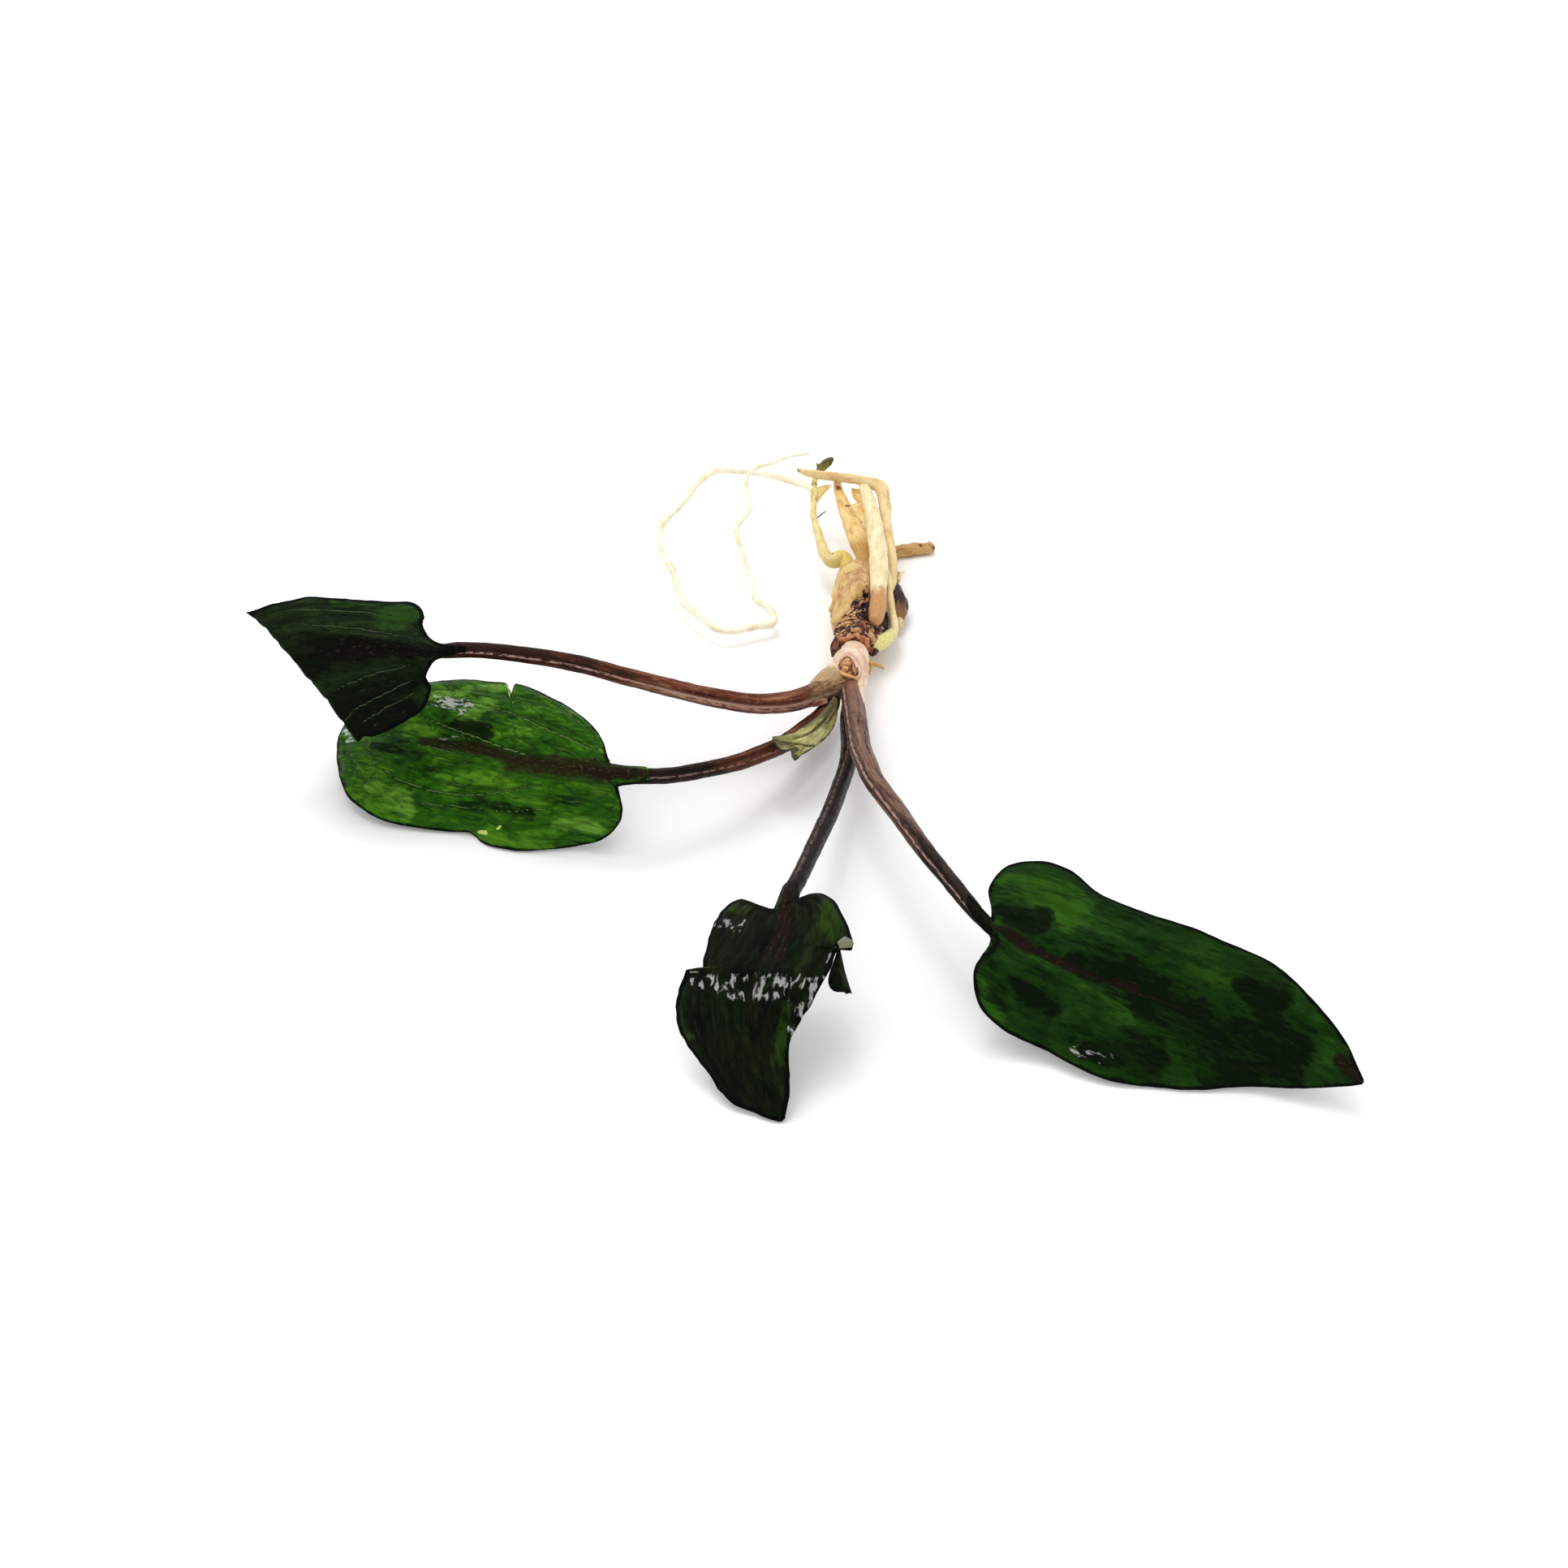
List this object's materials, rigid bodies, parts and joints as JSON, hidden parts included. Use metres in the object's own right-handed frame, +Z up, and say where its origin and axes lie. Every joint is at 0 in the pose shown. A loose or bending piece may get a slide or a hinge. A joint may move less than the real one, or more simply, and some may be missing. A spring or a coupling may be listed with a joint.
{
  "type": "cryptocoryne plant",
  "caption": "Small water plant lying loose: heart-shaped leaves on long stalks from a crown, a short rhizome, and pale roots that trail and loop behind it.",
  "frame": {"origin": "on the surface that the plant lies on, under the middle of its bounding box", "axes": "+Z up from that surface; +Y from the crown to the roots; +X to the side where the longest leaf points"},
  "size_m": [0.1232, 0.123, 0.025],
  "materials": {
    "leaf_green": "glossy wet leaf, hammered between its veins",
    "leaf_dark": "glossy wet leaf, near black",
    "leaf_young": "satin, light green with dark lines",
    "stalk": "satin, grooved, speckled",
    "crown": "smooth, moist, pinkish cream",
    "rhizome": "rough, scarred, tan to dark brown",
    "old_tissue": "wet, dark brown",
    "root_pale": "satin, translucent cream",
    "root_green": "satin, yellow green to olive",
    "root_tan": "satin, tan with brown spots"
  },
  "bodies": {
    "root": {"blade_right": "leaf_green", "blade_near_left": "leaf_green", "blade_far_left": "leaf_dark", "blade_front": "leaf_dark", "young_leaf": "leaf_young", "stalk_far_left": "stalk", "stalk_near_left": "stalk", "stalk_front": "stalk", "stalk_right": "stalk", "crown_collar": "crown", "leaf_scar": "rhizome", "rhizome": "rhizome", "old_leaf_base": "old_tissue", "pale_bud": "root_pale", "root_long_white": "root_pale", "root_ringed": "root_pale", "root_thin_right": "root_pale", "root_green": "root_green", "root_bent_tan": "root_tan", "root_flat_tan": "root_tan", "root_stub_right": "root_tan"}
  },
  "joints": []
}
